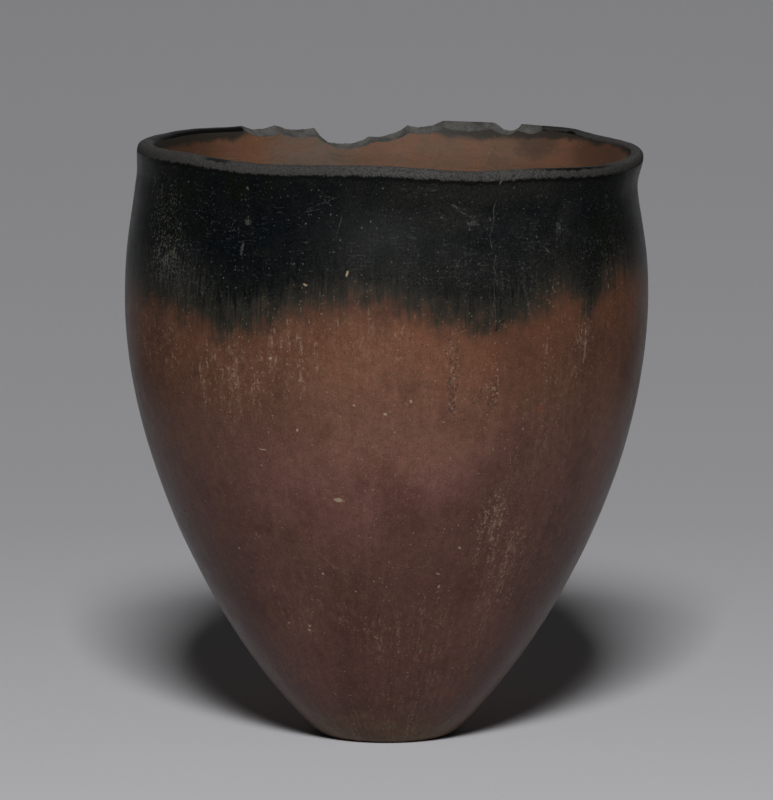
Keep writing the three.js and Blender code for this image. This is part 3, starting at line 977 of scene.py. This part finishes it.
# Grey smoke, and on the black's front middle a painted sheen
GREY_SMOKE_AND_SHEEN = paint(34, 33, 34)
ASH = paint(58, 57, 50)
BLACK = paint(12, 14, 15)
DULL_BLACK = paint(20, 21, 20)
BLUE_BLACK = paint(6, 10, 12)
GREEN_BLACK = paint(10, 15, 9)
BROWN_BLACK = paint(29, 29, 26)
UNDER_LIP = paint(10, 11, 10)
WORN_GREY = paint(70, 69, 67)
WORN_DULL = paint(46, 45, 44)
WORN_DARK = paint(34, 33, 31)
CREAM = paint(140, 124, 105)
DUST = paint(92, 92, 86)
RUST = paint(108, 62, 44)
PIT = paint(54, 52, 45)
PALE_SMOKE = paint(104, 92, 76)
RED_PIT = paint(50, 36, 30)
BLOT = paint(20, 20, 18)
CRACK_BROWN = paint(62, 50, 39)
CRACK_PALE = paint(76, 74, 70)
INSIDE_BUFF = paint(90, 59, 39)
INSIDE_ORANGE = paint(96, 60, 36)
INSIDE_PALE = paint(80, 70, 60)
# Painted shade at the ends of the inside's back wall
INSIDE_TOASTED_AND_SHADE = paint(64, 35, 12)
INSIDE_STAIN = paint(58, 40, 29)
INSIDE_BLACK = paint(24, 25, 20)
BROKEN_GREY = paint(66, 65, 62)
BROKEN_DARK = paint(46, 45, 42)
BROKEN_GRIT = paint(124, 120, 112)
PLASTER = paint(55, 53, 48)
PLASTER_DARK = paint(44, 42, 37)
FLOOR_GREY = paint(176, 176, 179)
FLOOR_FIBRE = paint(174, 174, 177)


def tinted(colour, value, low, high):
    """The colour made darker or lighter by a value that lies about 0.5."""
    shade = eased(value, 0.3, 0.7, low, high)
    grey = lay("ShaderNodeCombineColor", {0: shade, 1: shade, 2: shade}).outputs[0]
    return mixed(1.0, colour, grey, "MULTIPLY")


def added(*values):
    total = values[0]
    for value in values[1:]:
        total = maths("ADD", total, value)
    return total


def times(*values):
    product = values[0]
    for value in values[1:]:
        product = maths("MULTIPLY", product, value)
    return product


def swung(value, reach):
    """A value that lies about 0.5, swung about 0 by up to about half this reach."""
    return times(maths("SUBTRACT", value, 0.5), reach)


def red_clay(tree, point, level, above, streaks):
    """Red of the lower body, from the buff foot up to the orange below the black, with painted light on
    the front's middle and lower sides.
    """
    cloud = grained(point, 19, 3.0, 0.55)
    patch = grained(point, 5, 3.0, 0.6)
    red = banded(level, [
        (0.0, LOW_MAUVE), (0.3, LOW_MAUVE), (0.48, MID_MAUVE), (0.62, HIGH_RED), (1.0, HIGH_RED)
    ])
    sandy = eased(added(level, swung(patch, 0.16)), 0.075, 0.01, 0.0, 0.75)
    red = mixed(sandy, red, FOOT_BUFF)
    near_black = eased(above, *NEAR_BLACK)
    red = mixed(times(near_black, eased(cloud, 0.3, 0.62)), red, ORANGE)
    red = mixed(eased(cloud, 0.52, 0.32, 0.0, 0.42), red, DEEP_RED)
    red = mixed(times(eased(patch, 0.46, 0.7), 0.2), red, MELLOW)
    red = tinted(red, grained(point, 2.4, 4.0, 0.66), 0.9, 1.1)
    # Painted light: the red made lighter in the front's middle and on the lower sides, to soften the
    # lamp's falloff
    painted_light_level = eased(added(field(tree, "painted_light_mellowed"), swung(cloud, 0.5)), 0.0, 1.0, 0.42, 0.56)
    red = tinted(red, painted_light_level, 0.7, 1.35)
    return tinted(red, streaks["Shade"], 0.93, 1.07)


def black_clay(tree, point, drawn, patch, above, flecks):
    """Black of the top: navy, green and brown by patches, gritty, with grey wisps, and grey smoke that
    at the front's middle is a painted sheen.
    """
    haze = grained(point, 9, 4.0, 0.6)
    greyed_and_sheen = field(tree, "greyed_and_sheen")
    flecked = field(tree, "flecked")
    near_red = eased(above, 26, 4)
    black = mixed(eased(patch, 0.35, 0.7), BLACK, DULL_BLACK)
    black = mixed(times(field(tree, "blued"), eased(haze, 0.25, 0.6)), black, BLUE_BLACK)
    green_share = times(field(tree, "greened"), eased(patch, 0.4, 0.6))
    black = mixed(green_share, black, GREEN_BLACK)
    black = mixed(times(field(tree, "browned"), 0.85), black, BROWN_BLACK)
    # Grey smoke, and at the front's middle a painted sheen standing in for the lamp's soft highlight
    black = mixed(times(greyed_and_sheen, eased(haze, 0.3, 0.65), 0.45), black, GREY_SMOKE_AND_SHEEN)
    ash = grained(stretched(drawn, 0.8, 7), 1.0, 3.0, 0.6)
    ashen = added(times(field(tree, "ashen"), 0.5), 0.12)
    ash_share = times(near_red, eased(ash, 0.36, 0.7), ashen)
    black = mixed(ash_share, black, ASH)
    black = tinted(black, grained(point, 0.6, 4.0, 0.7), 0.5, 1.46)
    frost = use(flecks, {
        "Point": point, "Size": 0.8,
        "Share": added(times(greyed_and_sheen, 0.3), times(near_red, 0.22),
                       times(flecked, 0.55), swung(haze, 1.4), 0.2),
    })
    frost_share = added(times(greyed_and_sheen, 0.06), times(near_red, 0.12),
                        times(flecked, 0.26), 0.12)
    black = mixed(times(frost["Mask"], frost_share), black, DUST)
    wisp = grained(stretched(drawn, 3.2, 0.7), 1.0, 3.0, 0.6)
    wisp_share = times(eased(wisp, 0.56, 0.74), eased(haze, 0.42, 0.62), 0.22)
    return mixed(wisp_share, black, DUST)


def worn_spots(tree, point, drawn, above, flecks, colour, pale):
    """Where the coat has worn through: dark pits, pale dashes drawn out upwards, and pale crumbs."""
    column = eased(grained(stretched(drawn, 6, 44), 1.0, 3.0, 0.6), 0.48, 0.68)
    near_edge = times(eased(above, *NEAR_BLACK), eased(above, 24, 10))
    strings = eased(grained(stretched(drawn, 2.4, 40), 1.0, 2.0), 0.42, 0.6, 0.4, 1.15)
    speckled = times(field(tree, "speckled"), strings)
    pitted = field(tree, "pitted")
    pits = use(flecks, {
        "Point": point, "Size": 0.8, "Softness": 0.05,
        "Share": added(times(pitted, 0.7), times(column, 0.3), 0.2),
    })
    colour = mixed(times(pits["Mask"], 0.55), colour, RED_PIT)
    chalk = grained(stretched(drawn, 1.7, 3), 1.0, 4.0, 0.7)
    colour = mixed(times(speckled, eased(chalk, 0.46, 0.7), 0.5), colour, pale)
    dashes = use(flecks, {
        "Point": stretched(drawn, 1.0, 2.8), "Size": 1.0, "Softness": 0.15,
        "Share": added(times(speckled, 0.6), times(column, 0.3),
                       times(near_edge, 0.22), 0.15),
    })
    colour = mixed(times(dashes["Mask"], 0.62), colour, pale)
    crumbs = use(flecks, {
        "Point": point, "Size": 0.9, "Softness": 0.12,
        "Share": added(times(speckled, 0.5), times(pitted, 0.35),
                       times(column, 0.34), times(near_edge, 0.12), 0.17),
    })
    return mixed(times(crumbs["Mask"], 0.75), colour, pale)


def grains_and_pits(tree, point, ragged, specks, flecks, dim_on_black, colour, pale):
    """Pale dots and grits of the clay, and pits: the colour, the grits' mask and the pits' mask."""
    dots = use(specks, {"Point": ragged, "Spacing": 0.9, "Radius": 0.34, "Share": 0.7})
    dot_tone = added(times(maths("POWER", dots["Tone"], 4.0), 0.95), 0.06)
    drift = eased(grained(point, 7, 3.0, 0.6), 0.36, 0.6, 0.35, 1.1)
    colour = mixed(times(dots["Mask"], dot_tone, dim_on_black, drift), colour, pale)
    grits = use(specks, {"Point": ragged, "Spacing": 3.4, "Radius": 0.55, "Share": 0.6})
    grit_share = times(grits["Mask"], eased(grits["Tone"], 0.3, 1.0, 0.08, 0.6), dim_on_black)
    colour = mixed(grit_share, colour, pale)
    pits = use(flecks, {
        "Point": point, "Size": 1.2, "Share": times(field(tree, "pitted"), 0.8), "Softness": 0.06
    })
    return mixed(times(pits["Mask"], 0.6), colour, PIT), grits["Mask"], pits["Mask"]


def single_marks(ragged, shade, on_black, dim_on_black, colour):
    """The marks that stand at their own places: the colour and the cream grains' mask."""
    cream = marks_mask(ragged, CREAM_GRAINS)
    scuff = marks_mask(ragged, PALE_SCUFFS)
    rust = marks_mask(ragged, RUSTY_SPOTS)
    blot = marks_mask(ragged, DARK_BLOTS)
    scuffed = times(scuff, eased(shade, 0.4, 0.62, 0.0, 0.6), dim_on_black)
    colour = mixed(times(rust, 0.45), colour, RUST)
    colour = mixed(times(blot, 0.75), colour, BLOT)
    colour = mixed(scuffed, colour, mixed(on_black, BUFF, DUST))
    return mixed(times(cream, 0.85), colour, CREAM), cream


def cracked(tree, point, height, colour):
    """The colour with the crack at the front, brown near the fill and pale below."""
    aside = added(field(tree, "from_crack"), swung(grained(point, 1.3, 3.0), 1.1))
    line = eased(maths("ABSOLUTE", aside), *CRACK_HALF_WIDTH)
    forward = times(lay("ShaderNodeSeparateXYZ", {0: point}).outputs[1], -1.0)
    crack = times(line, eased(forward, 40, 50), eased(height, *CRACK_BOTTOM), eased(height, *CRACK_TOP))
    gaps = eased(grained(point, 1.9, 3.0), 0.4, 0.64, 0.14, 0.6)
    tone = mixed(eased(height, *CRACK_TURNS_BROWN), CRACK_BROWN, CRACK_PALE)
    return mixed(times(crack, gaps), colour, tone)


def worn_lip(tree, point, colour):
    """The worn grey lip, with a dark line under it and along its inner edge: colour and mask."""
    below = field(tree, "below_crest")
    inward = field(tree, "inward")
    frayed = added(swung(grained(point, 2.2, 2.0), 1.6), swung(grained(point, 0.6, 3.0, 0.7), 1.8))
    jagged = added(below, frayed)
    under = times(eased(jagged, 2.5, 3.0), eased(jagged, 4.6, 3.7))
    colour = mixed(times(under, 0.9), colour, UNDER_LIP)
    rubbed = times(field(tree, "rubbed"), -2.4)
    inner_edge = eased(added(inward, times(frayed, 0.5), rubbed), 0.3, -0.15)
    worn = times(eased(jagged, 3.15, 2.6), inner_edge)
    unworn = times(field(tree, "unworn"), eased(jagged, 1.0, 0.5))
    worn = maths("SUBTRACT", worn, unworn, clamp=True)
    lip_base = mixed(eased(below, 3.2, 2.8), colour, UNDER_LIP)
    salt = eased(grained(point, 0.55, 4.0, 0.75), 0.36, 0.62)
    tone = mixed(salt, WORN_DARK, WORN_GREY)
    tone = mixed(times(field(tree, "dulled"), 0.55), tone, WORN_DULL)
    return mixed(times(worn, 0.95), lip_base, tone), worn


def slip_finish(grain, specks, flecks, strokes):
    """Outside of the beaker: red slip, blackened top and worn lip."""
    material, tree, point = new_finish("black_topped_slip")
    drawn = attribute(tree, "around")["Vector"]
    height = lay("ShaderNodeSeparateXYZ", {0: point}).outputs[2]
    level = maths("DIVIDE", height, CREST_HEIGHT)
    above = field(tree, "above_firing")
    body_grain = use(grain, {"Point": point, "Size": 0.5})
    shade = body_grain["Shade"]
    stroke = use(strokes, {"Around": drawn, "Width": 0.5, "Length": 6.0})
    patch = grained(point, 6, 3.0, 0.6)
    red = red_clay(tree, point, level, above, stroke)
    black = black_clay(tree, point, drawn, patch, above, flecks)

    # The smoky edge between them
    edge = added(above, swung(stroke["Shade"], 16.0), swung(patch, 12.0), swung(shade, 12.0))
    on_black = eased(edge, -3, 8)
    pale = mixed(on_black, BUFF, mixed(eased(above, 4, 18), PALE_SMOKE, DUST))
    colour = mixed(eased(edge, -7, 3), red, SMOKE)
    colour = tinted(colour, shade, 0.82, 1.18)
    colour = worn_spots(tree, point, drawn, above, flecks, colour, pale)
    colour = mixed(eased(edge, 0, 9), colour, black)

    # What lies on both
    ragged = ragged_point(point, 0.8, 0.9)
    dim_on_black = eased(on_black, 0.0, 1.0, 1.0, 0.7)
    colour, grits, pits = grains_and_pits(
        tree, point, ragged, specks, flecks, dim_on_black, colour, pale
    )
    colour, cream = single_marks(ragged, shade, on_black, dim_on_black, colour)
    colour = cracked(tree, point, height, colour)
    colour, worn = worn_lip(tree, point, colour)

    # Gloss and relief
    dull = maths("MAXIMUM", maths("MAXIMUM", grits, pits), maths("MAXIMUM", worn, cream))
    shine = eased(patch, 0.3, 0.7, 0.36, 0.3)
    roughness = eased(dull, 0.0, 1.0, shine, 0.85)
    relief_height = added(
        times(body_grain["Height"], 0.35), times(stroke["Height"], 0.4), times(grits, 0.5),
        times(pits, -0.6), times(worn, shade, 1.5),
    )
    close_finish(colour, roughness, relief_height, 0.07, **{"Specular IOR Level": 0.1})
    return material


def inside_finish(grain, specks, strokes):
    """Inside of the beaker: plain orange clay wiped round, with a smoky band under the rim and painted
    shade towards the ends of its back wall.
    """
    material, tree, point = new_finish("wiped_inside")
    drawn = attribute(tree, "around")["Vector"]
    body_grain = use(grain, {"Point": point, "Size": 0.7})
    cloud = grained(point, 16, 3.0, 0.55)
    patch = grained(point, 5, 3.0, 0.6)
    wipe = grained(stretched(drawn, 14, 0.9), 1, 2.0)
    colour = mixed(eased(cloud, 0.35, 0.65), INSIDE_BUFF, INSIDE_ORANGE)
    # Painted shade: darker, more orange inside towards both ends of the back wall
    colour = mixed(times(field(tree, "toasted_and_painted_shade"), 0.93), colour, INSIDE_TOASTED_AND_SHADE)
    pale_share = times(field(tree, "paled"), eased(patch, 0.3, 0.6, 0.5, 0.9))
    colour = mixed(pale_share, colour, INSIDE_PALE)
    colour = mixed(eased(wipe, 0.5, 0.72, 0.0, 0.25), colour, INSIDE_STAIN)
    colour = mixed(eased(patch, 0.5, 0.7, 0.0, 0.25), colour, INSIDE_STAIN)
    colour = tinted(colour, body_grain["Shade"], 0.94, 1.06)
    depth = field(tree, "below_crest")
    sway = added(swung(grained(point, 9, 3.0, 0.6), 5.0), swung(patch, 2.5),
                 times(field(tree, "sooted"), -3.4))
    band = eased(added(depth, sway), 3.4, 0.9)
    smoke = times(field(tree, "smoked"), eased(cloud, 0.25, 0.55))
    smoked = maths("MAXIMUM", band, smoke)
    colour = mixed(times(smoked, 0.92), colour, INSIDE_BLACK)
    dots = use(specks, {"Point": point, "Spacing": 2.0, "Radius": 0.35, "Share": 0.4})
    colour = mixed(times(dots["Mask"], 0.3), colour, BUFF)
    stroke = use(strokes, {"Around": drawn, "Width": 9.0, "Length": 0.8})
    relief_height = added(times(body_grain["Height"], 0.3), times(stroke["Shade"], 0.5))
    close_finish(colour, eased(band, 0.0, 1.0, 0.85, 0.65), relief_height, 0.2)
    return material


def broken_finish(grain, specks):
    """Broken clay: a grey gritty face with a darker core."""
    material, _, point = new_finish("broken_clay")
    body_grain = use(grain, {"Point": point, "Size": 0.7})
    cloud = grained(point, 4, 4.0, 0.6)
    colour = mixed(eased(cloud, 0.42, 0.68), BROKEN_GREY, BROKEN_DARK)
    colour = tinted(colour, body_grain["Shade"], 0.88, 1.12)
    grit = use(specks, {"Point": point, "Spacing": 1.2, "Radius": 0.4, "Share": 0.5})
    colour = mixed(times(grit["Mask"], 0.2), colour, BROKEN_GRIT)
    relief_height = added(body_grain["Height"], times(grit["Mask"], 0.4))
    close_finish(colour, 0.92, relief_height, 0.3)
    return material


def plaster_finish(grain, specks):
    """The restorer's fill: matt, greyish tan, with small air holes."""
    material, _, point = new_finish("toned_plaster")
    body_grain = use(grain, {"Point": point, "Size": 0.5})
    colour = mixed(eased(body_grain["Shade"], 0.35, 0.65), PLASTER_DARK, PLASTER)
    holes = use(specks, {"Point": point, "Spacing": 0.9, "Radius": 0.22, "Share": 0.5})
    colour = mixed(times(holes["Mask"], 0.6), colour, PIT)
    relief_height = maths("SUBTRACT", times(body_grain["Height"], 0.4), holes["Mask"])
    close_finish(colour, 0.92, relief_height, 0.15)
    return material


def sweep_finish(grain):
    """Matt pale paper of the studio sweep, clear to the camera from its back and from below."""
    material, tree, point = new_finish("sweep_paper")
    fibre = use(grain, {"Point": point, "Size": 1.5})
    colour = mixed(eased(fibre["Shade"], 0.3, 0.7), FLOOR_GREY, FLOOR_FIBRE)
    paper = close_finish(colour, 0.95, fibre["Height"], 0.02)
    behind = lay("ShaderNodeNewGeometry", {}, tree).outputs["Backfacing"]
    looked_at = lay("ShaderNodeLightPath", {}, tree).outputs["Is Camera Ray"]
    clear = lay("ShaderNodeBsdfTransparent", {}, tree).outputs[0]
    either = lay("ShaderNodeMixShader", {0: times(behind, looked_at), 1: paper, 2: clear})
    tree.links.new(either.outputs[0], tree.nodes["Material Output"].inputs["Surface"])
    return material


def make_sweep():
    """Floor and backdrop as one sheet that curves up behind the beaker."""
    bend = [
        (SWEEP_FLAT_BACK + SWEEP_RADIUS * math.sin(a), SWEEP_RADIUS * (1 - math.cos(a)))
        for a in np.linspace(0, math.pi / 2, SWEEP_BEND_ROWS)
    ]
    near, far = SWEEP_WIDENS
    profile = [(SWEEP_FLAT_FRONT, 0), (near, 0), *bend, (SWEEP_FLAT_BACK + SWEEP_RADIUS, SWEEP_TOP)]
    widths = [np.interp(y, (near, far), (SWEEP_HALF_WIDTH, SWEEP_FAR_HALF_WIDTH)) for y, _ in profile]
    points = [
        (side * width, y, z - SWEEP_DROP) for width, (y, z) in zip(widths, profile) for side in (-1, 1)
    ]
    faces = [(2 * i, 2 * i + 1, 2 * i + 3, 2 * i + 2) for i in range(len(profile) - 1)]
    return add_mesh("studio_sweep", points, faces)


def hang_lamp(name, azimuth, elevation, distance, size, power):
    """A soft square lamp that looks at the beaker from this side and height."""
    rise = math.radians(elevation)
    turn = math.radians(azimuth)
    aim = Vector((0, 0, CAMERA_AIM_HEIGHT * MM))
    lamp = bpy.data.lights.new(name, "AREA")
    lamp.shape = "SQUARE"
    lamp.size = size
    lamp.energy = power
    hung = add_object(name, lamp)
    flat = math.cos(rise)
    towards = Vector((math.sin(turn) * flat, -math.cos(turn) * flat, math.sin(rise)))
    hung.location = aim + towards * distance
    hung.rotation_euler = (aim - hung.location).to_track_quat("-Z", "Y").to_euler()
    return hung


def light_studio(lit_behind):
    """A soft lamp high in front, one behind for the beaker alone, and a little light all round."""
    hang_lamp("key", KEY_AZIMUTH, KEY_ELEVATION, KEY_DISTANCE, KEY_SIZE, KEY_POWER)
    back = hang_lamp("back", BACK_AZIMUTH, BACK_ELEVATION, BACK_DISTANCE, BACK_SIZE, BACK_POWER)
    back.visible_camera = False
    back.visible_glossy = False
    lit = bpy.data.collections.new("lit_behind")
    for piece in lit_behind:
        lit.objects.link(piece)
    back.light_linking.receiver_collection = lit
    world = bpy.data.worlds.new("studio")
    world.use_nodes = True
    inputs = world.node_tree.nodes["Background"].inputs
    inputs["Color"].default_value = (1, 1, 1, 1)
    inputs["Strength"].default_value = WORLD_STRENGTH
    bpy.context.scene.world = world


def set_camera():
    turn = math.radians(CAMERA_ELEVATION)
    aim = Vector((0, 0, CAMERA_AIM_HEIGHT * MM))
    view = bpy.data.cameras.new("camera")
    view.sensor_width = SENSOR_WIDTH
    view.lens = FOCAL_PIXELS * SENSOR_WIDTH / FRAME_LONG_SIDE
    camera = add_object("camera", view)
    camera.location = aim + Vector((0, -math.cos(turn), math.sin(turn))) * CAMERA_DISTANCE * MM
    camera.rotation_euler = (aim - camera.location).to_track_quat("-Z", "Y").to_euler()
    bpy.context.scene.camera = camera


set_camera()
bpy.context.scene.view_settings.view_transform = "Standard"

GRAIN = grain_group()
SPECKS = speck_group()
FLECKS = fleck_group()
STROKES = stroke_group()

vessel = make_vessel()
vessel.data.materials.append(slip_finish(GRAIN, SPECKS, FLECKS, STROKES))
vessel.data.materials.append(inside_finish(GRAIN, SPECKS, STROKES))
vessel.data.materials.append(broken_finish(GRAIN, SPECKS))
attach(vessel, "root")
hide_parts("vessel_body")

fill = make_fill()
fill.data.materials.append(plaster_finish(GRAIN, SPECKS))
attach(fill, "root")
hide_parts("rim_fill")

light_studio([vessel, fill])

sweep = make_sweep()
sweep.data.materials.append(sweep_finish(GRAIN))
